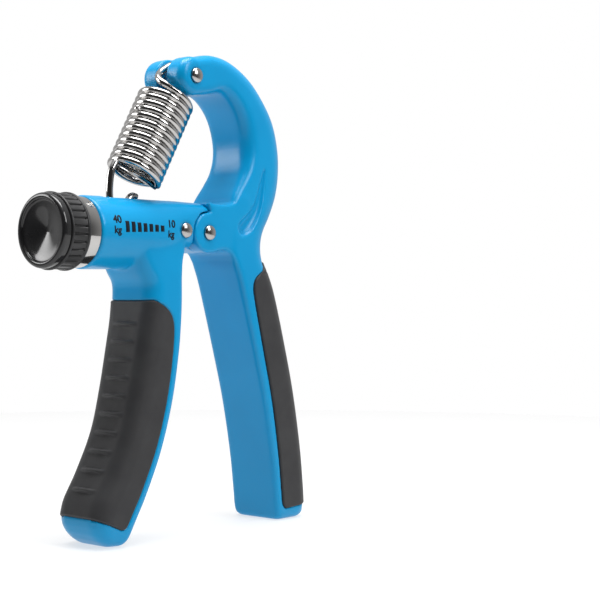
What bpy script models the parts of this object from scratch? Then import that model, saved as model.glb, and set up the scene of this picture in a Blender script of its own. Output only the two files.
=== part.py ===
"""Adjustable hand grip strengthener.

A short handle carries a horizontal barrel with an adjusting screw in it. A long handle turns on a
rivet at the barrel's end and reaches over in a C to hold the upper hook of an extension spring.
The spring's lower hook hangs on a slider that the knob's screw draws along the barrel, so the
slider's distance from the pivot sets the force.

The outlines are given in millimetres in the pivot frame: x towards the long handle, y to the back,
z up, and (0, 0, 0) in the middle of the handle pivot. The model stands on both feet, with its
origin on the ground under the middle of its width.
"""

import math

import bmesh
import bpy
from mathutils import Vector

MM = 0.001
PIVOT_X = 5.7
PIVOT_Z = 96.0
GAP = 0.3

# Handle pivot
EAR_RADIUS = 6.4
EAR_HALF = 10.3
EAR_INNER = 5.1
TONGUE_HALF = 4.3
RECESS_RADIUS = 6.8
POCKET_RADIUS = 7.2
PIVOT_BUSH_RADIUS = 3.2
WASHER_RADIUS = 5.5
RIVET_RADIUS = 1.9
RIVET_HOLE_RADIUS = 2.1
RIVET_HEAD_RADIUS = 2.55
RIVET_HEAD_HEIGHT = 1.5
BARREL_RIVET_X = -10.4
BARREL_RIVET_Z = 0.4
BARREL_RIVET_RADIUS = 1.5
SPOTFACE_RADIUS = 3.0

# Barrel and what turns or slides in it
AXIS_Z = -1.1
BARREL_END_X = -45.2
BORE_RADIUS = 6.5
BORE_END_X = -14.6
BUSH_RADIUS = 4.8
BUSH_END_X = -6.6
SCREW_RADIUS = 2.5
SCREW_TIP_RADIUS = 1.9
SCREW_TIP_X = -12.3
SLOT_HALF = 3.2
SLOT_FROM_X = -37.6
SLOT_TO_X = -12.0
COLLAR_RADIUS = 10.8
COLLAR_LEFT_X = -49.6
SPIGOT_END_X = -38.5
WASHER_THICKNESS = 0.7
KNOB_RADIUS = 11.75
KNOB_RIGHT_X = -49.9
KNOB_LEFT_X = -56.8
KNOB_GROOVES = 24
CAP_RADIUS = 11.2
CAP_LEFT_X = -59.6
SLIDER_FROM_X = -33.9
SLIDER_TO_X = -26.9

# Spring, from the slider's pin to the rivet in the arm's fork
HOOK_PIN = (-29.4, 6.3)
HOOK_PIN_RADIUS = 1.5
TOP_RIVET = (-5.1, 49.8)
SLEEVE_RADIUS = 3.0
WIRE_RADIUS = 1.0
COIL_RADIUS = 8.15
COIL_TURNS = 12.5
COIL_PITCH = 2.35
COIL_TOP = 7.9
COIL_FROM_TURN = 0.08
HOOK_FROM_TURN = 11.97
WIRE_BREAK_TURNS = 0.04
WIRE_SIDES = 6
TURN_POINTS = 12

# Arm's fork
TIP_RADIUS = 6.3
TIP_HALF = 9.6
FORK_SLOT_HALF = 2.2
FORK_SLOT_TO_X = 5.0

# Handles and their pads
PAD_THICKNESS = 2.2
PAD_PROUD = 0.4
PAD_PROFILE_STEP = 0.15
SEAT_END = 0.12

# Each handle's stations: inner edge x, z; outer edge x, z; half thickness; inner and outer
# corner radius; width of the bare strip along the inner edge.
SHORT_STATIONS = [
    (-9.8, 3.0, -30.0, 3.0, 10.2, 1.2, 4.0, 4.0),
    (-10.0, -4.5, -30.0, -7.0, 10.3, 1.2, 4.0, 4.0),
    (-10.9, -9.5, -28.2, -12.5, 10.5, 1.2, 4.5, 4.0),
    (-11.4, -15.0, -25.9, -16.5, 10.7, 1.2, 5.0, 4.0),
    (-11.5, -21.0, -25.7, -21.7, 10.8, 1.2, 5.0, 4.0),
    (-11.8, -28.0, -26.6, -28.0, 10.8, 1.2, 5.5, 4.0),
    (-12.8, -38.0, -28.2, -36.5, 10.8, 1.2, 5.5, 3.6),
    (-15.6, -53.0, -30.8, -49.2, 10.8, 1.2, 5.5, 3.4),
    (-20.3, -68.0, -34.2, -61.8, 10.8, 1.2, 5.5, 3.3),
    (-26.4, -81.0, -40.0, -73.6, 10.8, 1.2, 5.5, 3.3),
    (-30.8, -88.6, -44.8, -81.6, 10.8, 1.2, 5.5, 3.3),
    (-33.0, -92.6, -46.4, -86.6, 10.7, 1.2, 5.5, 3.3),
]
SHORT_TOE = [
    (-33.4, -93.8, -46.3, -89.0, 10.3, 1.2, 5.3, 3.3),
    (-33.9, -94.9, -45.2, -91.6, 9.6, 1.2, 5.0, 3.3),
    (-34.8, -95.7, -43.2, -93.8, 8.6, 1.2, 4.0, 3.0),
    (-35.4, -95.9, -41.2, -95.2, 7.6, 1.0, 2.6, 2.0),
    (-35.8, -96.0, -39.8, -96.0, 6.4, 0.8, 1.6, 1.2),
]
SHORT_PAD = (4, 11)
LONG_STATIONS = [
    (-5.1, 43.5, -5.1, 56.1, 9.6, 2.4, 3.0, 4.0),
    (2.5, 44.9, 3.0, 58.0, 9.6, 2.4, 3.6, 4.0),
    (7.6, 46.0, 12.6, 57.3, 9.6, 3.2, 5.0, 4.0),
    (12.3, 43.4, 22.4, 53.0, 9.7, 4.0, 6.4, 4.0),
    (16.2, 38.6, 29.8, 46.6, 9.8, 4.6, 7.4, 4.0),
    (18.4, 32.6, 35.3, 39.0, 9.8, 4.8, 7.8, 4.0),
    (18.9, 26.8, 38.1, 30.0, 9.8, 4.8, 8.0, 4.0),
    (17.8, 21.3, 38.4, 21.5, 9.9, 4.0, 8.0, 4.0),
    (15.2, 16.6, 36.9, 13.4, 10.0, 3.0, 8.0, 4.0),
    (11.6, 10.4, 33.6, 6.4, 10.2, 1.6, 8.0, 4.0),
    (11.0, 2.5, 30.1, 0.7, 10.3, 1.2, 8.0, 4.4),
    (10.6, -4.0, 28.6, -4.1, 10.5, 1.2, 7.6, 5.0),
    (12.0, -9.5, 28.9, -8.6, 10.7, 1.2, 7.0, 5.4),
    (14.3, -15.0, 30.8, -12.8, 10.8, 1.2, 6.2, 5.2),
    (17.0, -23.5, 33.4, -19.6, 10.8, 1.2, 5.5, 4.4),
    (21.9, -40.0, 38.4, -36.0, 10.8, 1.2, 5.5, 3.7),
    (26.3, -56.0, 42.8, -52.6, 10.8, 1.2, 5.5, 3.3),
    (29.8, -73.4, 46.3, -70.8, 10.8, 1.2, 5.5, 2.9),
    (31.5, -86.0, 48.0, -84.6, 10.8, 1.2, 5.5, 2.7),
    (32.2, -92.4, 48.5, -91.4, 10.8, 1.2, 5.5, 2.7),
]
LONG_TOE = [
    (32.5, -94.6, 48.4, -94.2, 10.4, 1.2, 5.3, 2.7),
    (33.3, -95.7, 47.5, -95.5, 9.5, 1.2, 5.0, 2.7),
    (34.5, -96.0, 46.1, -96.0, 8.2, 1.0, 4.0, 2.5),
]
LONG_PAD = (13, 19)
STEPS = 2

# Barrel stations: x, bottom z, top z, half thickness, squareness of the section
BARREL_STATIONS = [
    (-45.2, -12.3, 10.1, 11.2, 2.0),
    (-30.0, -12.0, 10.3, 11.2, 2.1),
    (-20.0, -11.3, 10.2, 11.0, 2.3),
    (-14.0, -8.8, 10.1, 10.8, 2.6),
    (-9.0, -6.2, 10.0, 10.5, 3.0),
    (-4.5, -5.2, 9.9, 10.3, 3.2),
    (1.3, -5.0, 9.8, 10.3, 3.4),
]

BLUE = ((0.02, 0.36, 0.80), 0.35, 0.0)
RUBBER = ((0.035, 0.035, 0.038), 0.75, 0.0)
BLACK = ((0.02, 0.02, 0.022), 0.3, 0.0)
CHROME = ((0.80, 0.81, 0.83), 0.15, 1.0)
STEEL = ((0.62, 0.62, 0.64), 0.3, 1.0)
BRASS = ((0.72, 0.55, 0.25), 0.35, 1.0)
NYLON = ((0.75, 0.74, 0.70), 0.5, 0.0)

PIVOT = (0.0, 0.0)


def clear_scene():
    for obj in list(bpy.data.objects):
        bpy.data.objects.remove(obj, do_unlink=True)


def material(name, finish):
    """A Principled material, made once for each name."""
    if name in bpy.data.materials:
        return bpy.data.materials[name]
    color, roughness, metallic = finish
    mat = bpy.data.materials.new(name)
    mat.use_nodes = True
    shader = mat.node_tree.nodes["Principled BSDF"]
    shader.inputs["Base Color"].default_value = (*color, 1.0)
    shader.inputs["Roughness"].default_value = roughness
    shader.inputs["Metallic"].default_value = metallic
    return mat


def world(x, y, z):
    """A pivot-frame point in millimetres as a world point in metres."""
    return Vector((x + PIVOT_X, y, z + PIVOT_Z)) * MM


def add_object(name, bm, centre, mat):
    """Turn a pivot-frame mesh into an object whose origin is at centre (x, z) on its axis."""
    origin = world(centre[0], 0.0, centre[1])
    for vert in bm.verts:
        vert.co = world(*vert.co) - origin
    bmesh.ops.recalc_face_normals(bm, faces=bm.faces)
    mesh = bpy.data.meshes.new(name)
    bm.to_mesh(mesh)
    bm.free()
    mesh.shade_smooth()
    mesh.set_sharp_from_angle(angle=math.radians(35))
    obj = bpy.data.objects.new(name, mesh)
    obj.location = origin
    bpy.context.collection.objects.link(obj)
    if mat is not None:
        mesh.materials.append(mat)
    return obj


def boolean(target, tool, operation):
    """Join or cut target with tool, which stays as a hidden guide."""
    tool.hide_render = True
    tool.display_type = "WIRE"
    mod = target.modifiers.new(tool.name, "BOOLEAN")
    mod.operation = operation
    mod.solver = "EXACT"
    mod.object = tool


def spline(points, steps):
    """Points of a smooth curve through the given ones, with steps points to a span."""
    padded = [points[0], *points, points[-1]]
    curve = []
    for k in range(len(points) - 1):
        for step in range(steps):
            t = step / steps
            curve.append(tuple(
                0.5 * (2 * b + (c - a) * t + (2 * a - 5 * b + 4 * c - d) * t**2
                       + (3 * b - a - 3 * c + d) * t**3)
                for a, b, c, d in zip(*padded[k:k + 4])
            ))
    curve.append(tuple(points[-1]))
    return curve


def lerp(a, b, t):
    return tuple(u + (v - u) * t for u, v in zip(a, b))


def arc(cx, cy, radius, start, end, count):
    """Points on an arc, with angles in degrees."""
    angles = [math.radians(start + (end - start) * k / count) for k in range(count + 1)]
    return [(cx + radius * math.cos(a), cy + radius * math.sin(a)) for a in angles]


def loft(bm, rings):
    """Skin a list of closed rings of equal length and close both ends."""
    rows = [[bm.verts.new(p) for p in ring] for ring in rings]
    for low, high in zip(rows, rows[1:]):
        for k in range(len(low)):
            nxt = (k + 1) % len(low)
            bm.faces.new((low[k], low[nxt], high[nxt], high[k]))
    bm.faces.new(rows[0][::-1])
    bm.faces.new(rows[-1])


def prism(outline, y_from, y_to):
    """An x, z outline extruded along y."""
    bm = bmesh.new()
    loft(bm, [[(x, y, z) for x, z in outline] for y in (y_from, y_to)])
    return bm


def turned(profile, axis, centre, sides):
    """Turn a profile of (position, radius) pairs about an axis along x or y.

    A closed profile makes a ring. An open one starts and ends on the axis with radius 0.
    """
    bm = bmesh.new()
    solid = profile[0][1] == 0.0
    inner = profile[1:-1] if solid else profile
    rows = []
    for k in range(sides):
        a = 2 * math.pi * k / sides
        row = []
        for pos, radius in inner:
            u, v = radius * math.cos(a), radius * math.sin(a)
            if axis == "X":
                point = (pos, u, centre[1] + v)
            else:
                point = (centre[0] + u, pos, centre[1] + v)
            row.append(bm.verts.new(point))
        rows.append(row)
    count = len(inner)
    for k in range(sides):
        here, there = rows[k], rows[(k + 1) % sides]
        for j in range(count - 1 if solid else count):
            nxt = (j + 1) % count
            bm.faces.new((here[j], here[nxt], there[nxt], there[j]))
    if solid:
        bm.faces.new([row[0] for row in rows])
        bm.faces.new([row[-1] for row in rows])
    return bm


def tube(path, radius, sides):
    """A round wire along a list of points, with flat ends."""
    points = [Vector(p) for p in path]
    bm = bmesh.new()
    rings = []
    side = None
    for k, point in enumerate(points):
        ahead = points[min(k + 1, len(points) - 1)]
        behind = points[max(k - 1, 0)]
        tangent = (ahead - behind).normalized()
        if side is None:
            side = tangent.orthogonal()
        side = (side - tangent * side.dot(tangent)).normalized()
        up = tangent.cross(side)
        ring = []
        for j in range(sides):
            a = 2 * math.pi * j / sides
            ring.append(point + (side * math.cos(a) + up * math.sin(a)) * radius)
        rings.append(ring)
    loft(bm, rings)
    return bm


def across(station, depth, y):
    """The point at a depth from a station's inner edge towards its outer edge."""
    inner = Vector((station[0], 0.0, station[1]))
    outer = Vector((station[2], 0.0, station[3]))
    point = inner + (outer - inner).normalized() * depth
    return (point.x, y, point.z)


def mirrored(half):
    """A closed section from its half with y above 0, which runs from the inner to the outer edge."""
    return half + [(p, -y) for p, y in reversed(half) if y > 1e-6]


def handle_ring(station, seated):
    """One section of a handle: a rounded bar, or a T where the pad sits."""
    half, r_in, r_out, strip = station[4:8]
    width = math.hypot(station[2] - station[0], station[3] - station[1]) - PAD_PROUD
    sink = PAD_THICKNESS - PAD_PROUD if seated else 0.0
    top = half - sink
    end = width - sink
    step = PAD_PROFILE_STEP
    profile = [(0.0, 0.0)]
    profile += arc(r_in, half - r_in, r_in, 180, 90, 2)
    seat = max(strip, r_in + 2 * step)
    profile += [(seat - step, half), (seat + step, top)]
    profile += arc(end - r_out + sink, top - r_out + sink, r_out - sink, 90, 0, 4)
    profile.append((end, 0.0))
    return [across(station, depth, y) for depth, y in mirrored(profile)]


def pad_ring(station):
    """One section of a pad: a channel round the handle's outer edge and both its faces."""
    half, _, r_out, strip = station[4:8]
    width = math.hypot(station[2] - station[0], station[3] - station[1])
    inside = PAD_THICKNESS - GAP
    outer_half = half + PAD_PROUD
    start = strip + PAD_PROFILE_STEP + GAP
    skin = [(start, outer_half - 0.5), (start + 0.5, outer_half)]
    skin += arc(width - r_out, outer_half - r_out, r_out, 90, 0, 4)
    core = [(start, outer_half - inside)]
    core += arc(width - r_out, outer_half - r_out, r_out - inside, 90, 0, 4)
    loop = skin + [(width, 0.0)] + [(p, -y) for p, y in reversed(skin)]
    loop += [(p, -y) for p, y in core] + [(width - inside, 0.0)]
    loop += list(reversed(core))
    return [across(station, depth, y) for depth, y in loop]


def seated_stations(stations, first, last):
    """Stations with a flag for the pad's seat, whose ends are short steps."""
    flagged = [(s, False) for s in stations[:first + 1]]
    flagged.append((lerp(stations[first], stations[first + 1], SEAT_END), True))
    flagged += [(s, True) for s in stations[first + 1:last]]
    flagged.append((lerp(stations[last], stations[last - 1], SEAT_END), True))
    flagged += [(s, False) for s in stations[last:]]
    return flagged


def handle_mesh(stations, toe, pad):
    curve = spline(stations, STEPS)
    flagged = seated_stations(curve, pad[0] * STEPS, pad[1] * STEPS)
    flagged += [(s, False) for s in toe]
    bm = bmesh.new()
    loft(bm, [handle_ring(s, seated) for s, seated in flagged])
    return bm


def pad_mesh(stations, pad):
    curve = spline(stations, STEPS)[pad[0] * STEPS:pad[1] * STEPS + 1]
    curve[0] = lerp(curve[0], curve[1], 2 * SEAT_END)
    curve[-1] = lerp(curve[-1], curve[-2], 2 * SEAT_END)
    bm = bmesh.new()
    loft(bm, [pad_ring(s) for s in curve])
    return bm


def barrel_mesh():
    """The barrel: round at the knob's end and squarer towards the pivot."""
    rings = []
    sides = 28
    for x, low, high, half, power in spline(BARREL_STATIONS, 2):
        ring = []
        for k in range(sides):
            a = 2 * math.pi * k / sides
            c, s = math.cos(a), math.sin(a)
            y = half * math.copysign(abs(c) ** (2 / power), c)
            z = (high - low) / 2 * math.copysign(abs(s) ** (2 / power), s)
            ring.append((x, y, (high + low) / 2 + z))
        rings.append(ring)
    bm = bmesh.new()
    loft(bm, rings)
    return bm


def ear_outline():
    """The long handle's ear and the web that joins it to the arm."""
    ear = arc(0.0, 0.0, EAR_RADIUS, 78, 270, 20)
    web = [(2.6, -6.2), (5.5, -5.4), (8.2, -5.3), (10.4, -6.6), (11.9, -9.0), (17.0, -9.0),
           (20.0, 4.0), (18.5, 12.4), (14.2, 12.0), (11.6, 10.1), (9.0, 9.4), (5.0, 9.3),
           (-0.4, 9.9)]
    return ear + web


def cutter(name, bm):
    return add_object(name, bm, PIVOT, None)


def disc_profile(start, end, radius):
    return [(start, 0.0), (start, radius), (end, radius), (end, 0.0)]


def ring_profile(start, end, inner, outer):
    return [(start, inner), (end, inner), (end, outer), (start, outer)]


def short_handle(blue):
    """The handle with the barrel, its tongue at the pivot, its bore and its slot."""
    handle = add_object("short_handle", handle_mesh(SHORT_STATIONS, SHORT_TOE, SHORT_PAD), PIVOT,
                        blue)
    boolean(handle, cutter("barrel_solid", barrel_mesh()), "UNION")
    seam = [(1.0, 6.4), (-0.9, 10.6), (-0.9, 16.0), (9.0, 16.0), (9.0, -11.0), (-4.4, -11.0),
            (-4.9, -4.8), (0.0, 0.0)]
    boolean(handle, cutter("seam_cut", prism(seam, -15.0, 15.0)), "DIFFERENCE")
    tongue = arc(0.0, 0.0, EAR_RADIUS, -82, 82, 14) + [(-8.0, 6.2), (-8.0, -4.6), (-4.0, -5.0)]
    boolean(handle, cutter("tongue_solid", prism(tongue, -TONGUE_HALF, TONGUE_HALF)), "UNION")
    for side, name in ((-1, "front_recess"), (1, "back_recess")):
        low, high = sorted((side * TONGUE_HALF, side * 15.0))
        recess = turned(disc_profile(low, high, RECESS_RADIUS), "Y", PIVOT, 40)
        boolean(handle, cutter(name, recess), "DIFFERENCE")
    bush_hole = turned(disc_profile(-8.0, 8.0, PIVOT_BUSH_RADIUS + 0.05), "Y", PIVOT, 24)
    boolean(handle, cutter("pivot_bush_hole", bush_hole), "DIFFERENCE")
    bore = [(BARREL_END_X - 1.0, 0.0), (BARREL_END_X - 1.0, BORE_RADIUS),
            (BORE_END_X, BORE_RADIUS), (BORE_END_X, BUSH_RADIUS + 0.05),
            (BUSH_END_X, BUSH_RADIUS + 0.05), (BUSH_END_X, 0.0)]
    boolean(handle, cutter("barrel_bore", turned(bore, "X", (0.0, AXIS_Z), 28)), "DIFFERENCE")
    slot = [(SLOT_FROM_X, 0.0), (SLOT_TO_X, 0.0), (SLOT_TO_X, 14.0), (SLOT_FROM_X, 14.0)]
    boolean(handle, cutter("barrel_slot", prism(slot, -SLOT_HALF, SLOT_HALF)), "DIFFERENCE")
    centre = (BARREL_RIVET_X, BARREL_RIVET_Z)
    hole = turned(disc_profile(-14.0, 14.0, BARREL_RIVET_RADIUS + 0.1), "Y", centre, 20)
    boolean(handle, cutter("barrel_rivet_hole", hole), "DIFFERENCE")
    for side, name in ((-1, "front_spotface"), (1, "back_spotface")):
        low, high = sorted((side * EAR_HALF, side * 14.0))
        face = turned(disc_profile(low, high, SPOTFACE_RADIUS), "Y", centre, 20)
        boolean(handle, cutter(name, face), "DIFFERENCE")


def flute_mesh(side):
    """A leaf-shaped hollow in the arm's face, wide at its foot and pointed at its top."""
    path = spline([(14.0, 0.8), (18.8, 4.2), (23.2, 10.4), (26.8, 22.6)], 4)
    rings = []
    for k, (x, z) in enumerate(path):
        t = k / (len(path) - 1)
        width = 3.3 * math.sqrt(max(0.03, 1 - (1 - min(1.0, t / 0.3)) ** 2)) * (1 - t) ** 0.55
        width = max(width, 0.25)
        ahead = path[min(k + 1, len(path) - 1)]
        behind = path[max(k - 1, 0)]
        along = Vector((ahead[0] - behind[0], ahead[1] - behind[1])).normalized()
        ring = []
        for j in range(10):
            a = 2 * math.pi * j / 10
            off = width * math.cos(a)
            depth = (1.0 + 0.25 * width) * math.sin(a)
            ring.append((x - along.y * off, side * (EAR_HALF + 0.1) + depth, z + along.x * off))
        rings.append(ring)
    bm = bmesh.new()
    loft(bm, rings)
    return bm


def long_handle(blue):
    """The handle with the C-shaped arm, its fork and its ears."""
    handle = add_object("long_handle", handle_mesh(LONG_STATIONS, LONG_TOE, LONG_PAD), PIVOT, blue)
    tip = [(-TIP_HALF, 0.0), (-TIP_HALF, TIP_RADIUS - 2.6), (-TIP_HALF + 0.8, TIP_RADIUS - 0.8),
           (-TIP_HALF + 2.6, TIP_RADIUS), (TIP_HALF - 2.6, TIP_RADIUS),
           (TIP_HALF - 0.8, TIP_RADIUS - 0.8), (TIP_HALF, TIP_RADIUS - 2.6), (TIP_HALF, 0.0)]
    boolean(handle, cutter("tip_solid", turned(tip, "Y", TOP_RIVET, 28)), "UNION")
    ears = prism(ear_outline(), -EAR_HALF, EAR_HALF)
    boolean(handle, cutter("ear_solid", ears), "UNION")
    pocket = turned(disc_profile(-EAR_INNER, EAR_INNER, POCKET_RADIUS), "Y", PIVOT, 40)
    boolean(handle, cutter("tongue_pocket", pocket), "DIFFERENCE")
    for name, centre in (("pivot_hole", PIVOT), ("top_rivet_hole", TOP_RIVET)):
        hole = turned(disc_profile(-14.0, 14.0, RIVET_HOLE_RADIUS), "Y", centre, 20)
        boolean(handle, cutter(name, hole), "DIFFERENCE")
    x = FORK_SLOT_TO_X
    slot = [(-16.0, 38.0), (x, 38.0), (x, 62.0), (-16.0, 62.0)]
    boolean(handle, cutter("fork_slot", prism(slot, -FORK_SLOT_HALF, FORK_SLOT_HALF)), "DIFFERENCE")
    for side, name in ((-1, "front_flute"), (1, "back_flute")):
        boolean(handle, cutter(name, flute_mesh(side)), "DIFFERENCE")


def rivet(name, centre, half, radius, mat):
    """A solid rivet across the grip, with a domed head on each face."""
    head = [(half + GAP / 4, radius), (half + GAP / 4, RIVET_HEAD_RADIUS),
            (half + 0.45, RIVET_HEAD_RADIUS)]
    dome = [(half + 0.45 + (RIVET_HEAD_HEIGHT - 0.45) * math.sin(a), RIVET_HEAD_RADIUS * math.cos(a))
            for a in (math.radians(30), math.radians(60))]
    top = [(half + RIVET_HEAD_HEIGHT, 0.0)]
    side = head + dome + top
    profile = [(-p, r) for p, r in reversed(side)] + side
    profile.insert(1, (-(half + RIVET_HEAD_HEIGHT) + 0.02, 0.7))
    profile.insert(-1, (half + RIVET_HEAD_HEIGHT - 0.02, 0.7))
    return add_object(name, turned(profile, "Y", centre, 12), centre, mat)


def washer(name, axis, start, end, inner, outer, centre, mat, sides=20):
    bm = turned(ring_profile(start, end, inner, outer), axis, centre, sides)
    origin = centre if axis == "Y" else ((start + end) / 2, centre[1])
    return add_object(name, bm, origin, mat)


def pivot_parts(steel, nylon):
    rivet("pivot_rivet", PIVOT, EAR_HALF, RIVET_RADIUS, steel)
    rivet("barrel_rivet", (BARREL_RIVET_X, BARREL_RIVET_Z), EAR_HALF, BARREL_RIVET_RADIUS, steel)
    rivet("top_rivet", TOP_RIVET, TIP_HALF, RIVET_RADIUS, steel)
    washer("pivot_bush", "Y", -TONGUE_HALF, TONGUE_HALF, RIVET_RADIUS + 0.08, PIVOT_BUSH_RADIUS,
           PIVOT, steel)
    inner = TONGUE_HALF + 0.12
    outer = EAR_INNER - 0.12
    washer("front_pivot_washer", "Y", -outer, -inner, RIVET_RADIUS + 0.2, WASHER_RADIUS, PIVOT, nylon)
    washer("back_pivot_washer", "Y", inner, outer, RIVET_RADIUS + 0.2, WASHER_RADIUS, PIVOT, nylon)
    washer("hook_sleeve", "Y", -FORK_SLOT_HALF + 0.2, FORK_SLOT_HALF - 0.2, RIVET_RADIUS + 0.1,
           SLEEVE_RADIUS, TOP_RIVET, steel)


def barrel_parts(chrome, steel, nylon):
    """The collar that closes the barrel, and the bush that holds the screw's tip."""
    left = COLLAR_LEFT_X
    right = BARREL_END_X - GAP / 2
    hole = SCREW_RADIUS + 0.2
    collar = [(left, hole), (SPIGOT_END_X, hole), (SPIGOT_END_X, BORE_RADIUS - 0.2),
              (right, BORE_RADIUS - 0.2), (right, COLLAR_RADIUS - 0.3), (right - 0.4, COLLAR_RADIUS),
              (left + 0.4, COLLAR_RADIUS), (left, COLLAR_RADIUS - 0.3)]
    axis = (0.0, AXIS_Z)
    add_object("collar", turned(collar, "X", axis, 28), (left, AXIS_Z), chrome)
    washer("thrust_washer", "X", left - 0.1 - WASHER_THICKNESS, left - 0.1, hole, 8.0, axis, steel)
    start = BORE_END_X + 0.15
    tip = SCREW_TIP_RADIUS + 0.1
    bush = [(start, tip), (SCREW_TIP_X + 0.2, tip), (SCREW_TIP_X + 0.2, 0.6),
            (BUSH_END_X - 0.2, 0.6), (BUSH_END_X - 0.2, BUSH_RADIUS), (start, BUSH_RADIUS)]
    obj = add_object("end_bush", turned(bush, "X", axis, 20), (start, AXIS_Z), nylon)
    centre = (BARREL_RIVET_X, BARREL_RIVET_Z)
    cross = turned(disc_profile(-8.0, 8.0, BARREL_RIVET_RADIUS + 0.08), "Y", centre, 20)
    boolean(obj, cutter("bush_cross_hole", cross), "DIFFERENCE")


def ribbed_knob(black):
    """The knob: smooth rims, grooves along its side, and a recess for its nut."""
    right = KNOB_RIGHT_X
    left = KNOB_LEFT_X
    web_right = COLLAR_LEFT_X - 0.2 - WASHER_THICKNESS
    web_left = web_right - 1.9
    hole = SCREW_RADIUS + 0.1
    outside = [(right, 0.93), (right - 0.9, 1.0), (right - 1.3, 1.0), (left + 1.3, 1.0),
               (left + 0.9, 1.0), (left, 0.94)]
    count = KNOB_GROOVES * 3
    rings = []
    for k, (x, scale) in enumerate(outside):
        ring = []
        for j in range(count):
            a = 2 * math.pi * j / count
            grooved = j % 3 == 0 and 2 <= k <= 3
            radius = KNOB_RADIUS * scale - (0.6 if grooved else 0.0)
            ring.append((x, radius * math.cos(a), AXIS_Z + radius * math.sin(a)))
        rings.append(ring)
    bm = bmesh.new()
    loft(bm, rings)
    knob = add_object("knob", bm, (left, AXIS_Z), black)
    axis = (0.0, AXIS_Z)
    inside = [(right + 1.0, 0.0), (right + 1.0, 8.3), (web_right, 8.3), (web_right, hole),
              (web_left, hole), (web_left, 9.4), (left - 1.0, 9.4), (left - 1.0, 0.0)]
    boolean(knob, cutter("knob_inside", turned(inside, "X", axis, 32)), "DIFFERENCE")
    return web_left


def knob_parts(black, steel):
    web_left = ribbed_knob(black)
    axis = (0.0, AXIS_Z)
    hole = SCREW_RADIUS + 0.1
    washer("lock_washer", "X", web_left - 0.7, web_left - 0.1, hole, 4.6, axis, steel)
    nut_right = web_left - 0.8
    nut_left = nut_right - 2.4
    nut = add_object("lock_nut", turned(disc_profile(nut_left, nut_right, 4.6), "X", axis, 6),
                     (nut_left, AXIS_Z), steel)
    thread = turned(disc_profile(nut_left - 1.0, nut_right + 1.0, SCREW_RADIUS + 0.08), "X", axis, 20)
    boolean(nut, cutter("nut_thread", thread), "DIFFERENCE")
    screw_left = nut_left - 0.1
    screw = [(screw_left, 0.0), (screw_left, SCREW_RADIUS - 0.3), (screw_left + 0.3, SCREW_RADIUS),
             (BORE_END_X - 0.2, SCREW_RADIUS), (BORE_END_X - 0.2, SCREW_TIP_RADIUS),
             (SCREW_TIP_X, SCREW_TIP_RADIUS), (SCREW_TIP_X, 0.0)]
    add_object("adjusting_screw", turned(screw, "X", axis, 20), (screw_left, AXIS_Z), steel)
    washer("retaining_ring", "X", SPIGOT_END_X + 0.15, SPIGOT_END_X + 0.85, SCREW_RADIUS + 0.03,
           4.4, axis, steel)
    left = CAP_LEFT_X
    seat = KNOB_LEFT_X - 0.2
    cap = [(left + 2.4, 0.0), (left + 1.7, 4.0), (left + 0.25, 9.2), (left, 9.9), (left + 0.4, 10.9),
           (left + 1.3, CAP_RADIUS), (seat, CAP_RADIUS - 0.5), (seat, 9.15), (seat + 2.2, 9.1),
           (seat + 2.2, 8.1), (seat - 0.6, 8.0), (left + 3.4, 3.0), (left + 3.5, 0.0)]
    add_object("knob_cap", turned(cap, "X", axis, 32), (left, AXIS_Z), black)


def slider_parts(brass, steel):
    """The slider on the screw, with two cheeks and the pin that the spring's hook hangs on."""
    axis = (0.0, AXIS_Z)
    low, high = SLIDER_FROM_X, SLIDER_TO_X
    block = turned(disc_profile(low, high, BORE_RADIUS - 0.4), "X", axis, 28)
    slider = add_object("slider", block, HOOK_PIN, brass)
    cheeks = [(low + 0.5, 1.0), (high - 0.5, 1.0), (high - 0.5, 8.2), (high - 1.6, 9.3),
              (low + 1.6, 9.3), (low + 0.5, 8.2)]
    boolean(slider, cutter("cheek_solid", prism(cheeks, -SLOT_HALF + 0.3, SLOT_HALF - 0.3)), "UNION")
    bore = turned(disc_profile(low - 1.0, high + 1.0, SCREW_RADIUS + 0.08), "X", axis, 20)
    boolean(slider, cutter("slider_bore", bore), "DIFFERENCE")
    groove = [(low - 1.0, 1.6), (high + 1.0, 1.6), (high + 1.0, 12.0), (low - 1.0, 12.0)]
    half = WIRE_RADIUS + GAP
    boolean(slider, cutter("wire_groove", prism(groove, -half, half)), "DIFFERENCE")
    hole = turned(disc_profile(-6.0, 6.0, HOOK_PIN_RADIUS + 0.05), "Y", HOOK_PIN, 20)
    boolean(slider, cutter("hook_pin_hole", hole), "DIFFERENCE")
    half = SLOT_HALF - 0.4
    pin = turned(disc_profile(-half, half, HOOK_PIN_RADIUS), "Y", HOOK_PIN, 20)
    add_object("hook_pin", pin, HOOK_PIN, steel)


def spring_frame():
    """Unit vectors along the spring, from its pin to the fork's rivet, and across it."""
    along = Vector((TOP_RIVET[0] - HOOK_PIN[0], 0.0, TOP_RIVET[1] - HOOK_PIN[1])).normalized()
    across_spring = Vector((along.z, 0.0, -along.x))
    return along, across_spring


def spring_point(side, y, height):
    """A point given across the spring, along y, and along the spring from the fork's rivet."""
    along, across_spring = spring_frame()
    rivet_point = Vector((TOP_RIVET[0], 0.0, TOP_RIVET[1]))
    return rivet_point + across_spring * side + along * height + Vector((0.0, y, 0.0))


def helix(first_turn, last_turn):
    """Points down the coil, counted in turns from its top."""
    count = round((last_turn - first_turn) * TURN_POINTS)
    points = []
    for k in range(count + 1):
        turn = first_turn + (last_turn - first_turn) * k / count
        a = 2 * math.pi * turn
        points.append(spring_point(-COIL_RADIUS * math.cos(a), -COIL_RADIUS * math.sin(a),
                                   -COIL_TOP - COIL_PITCH * turn))
    return points


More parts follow.
